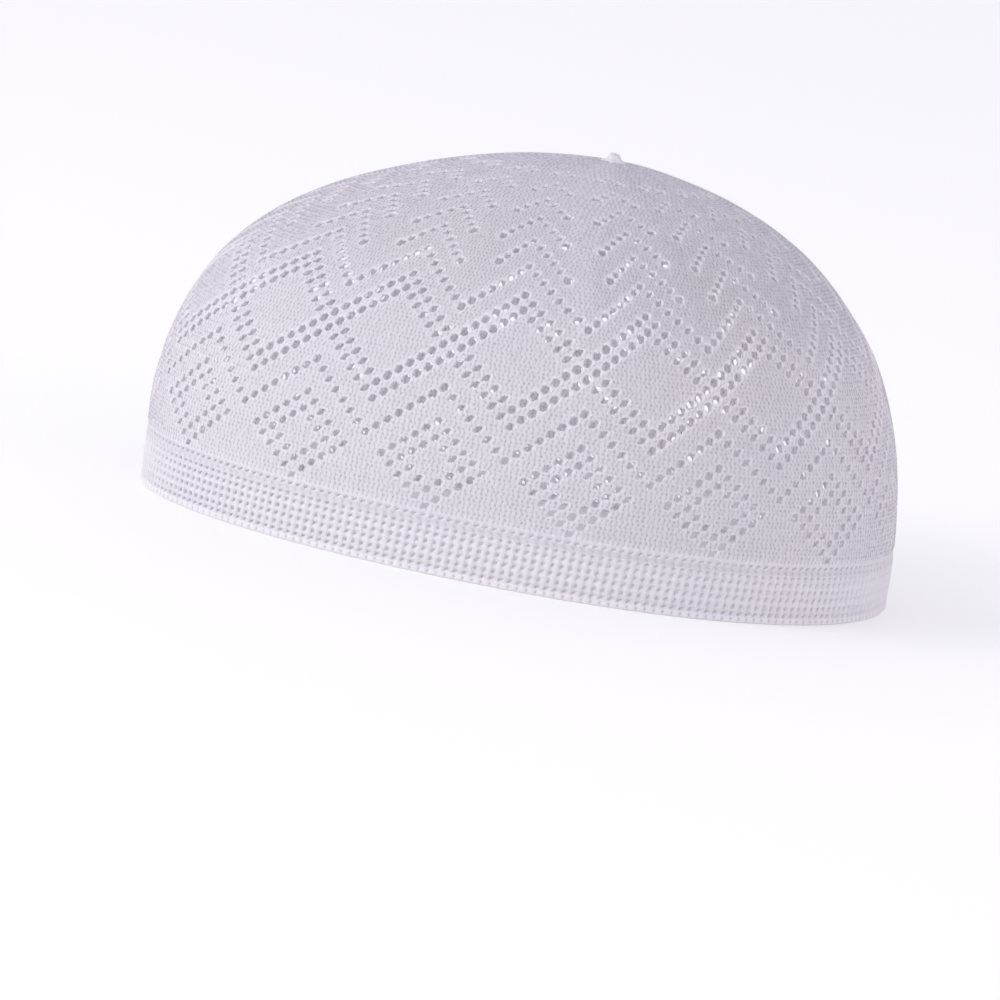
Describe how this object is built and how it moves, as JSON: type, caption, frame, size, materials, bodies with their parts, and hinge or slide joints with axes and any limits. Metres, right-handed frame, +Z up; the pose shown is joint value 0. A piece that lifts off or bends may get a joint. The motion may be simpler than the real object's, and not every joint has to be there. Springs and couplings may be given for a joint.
{
  "type": "knitted lace kufi cap",
  "caption": "Soft round white lace-knit skullcap: a hollow domed crown pierced with eyelet diamonds, a mesh band, a rolled rim and a small top knot.",
  "frame": {"origin": "middle of the rim's footprint, on the surface that the rim rests on", "axes": "+Z up to the knot, -Y the front of the cap, +Y the back, +X the wearer's left"},
  "size_m": [0.153, 0.196, 0.1035],
  "materials": {
    "white_knit": "matt fine-gauge knitted acrylic or cotton yarn with eyelets",
    "white_trim": "matt rolled and knotted yarn"
  },
  "bodies": {
    "root": {"crown": "white_knit", "band": "white_knit", "rim_edge": "white_trim", "top_knot": "white_trim"}
  },
  "joints": []
}
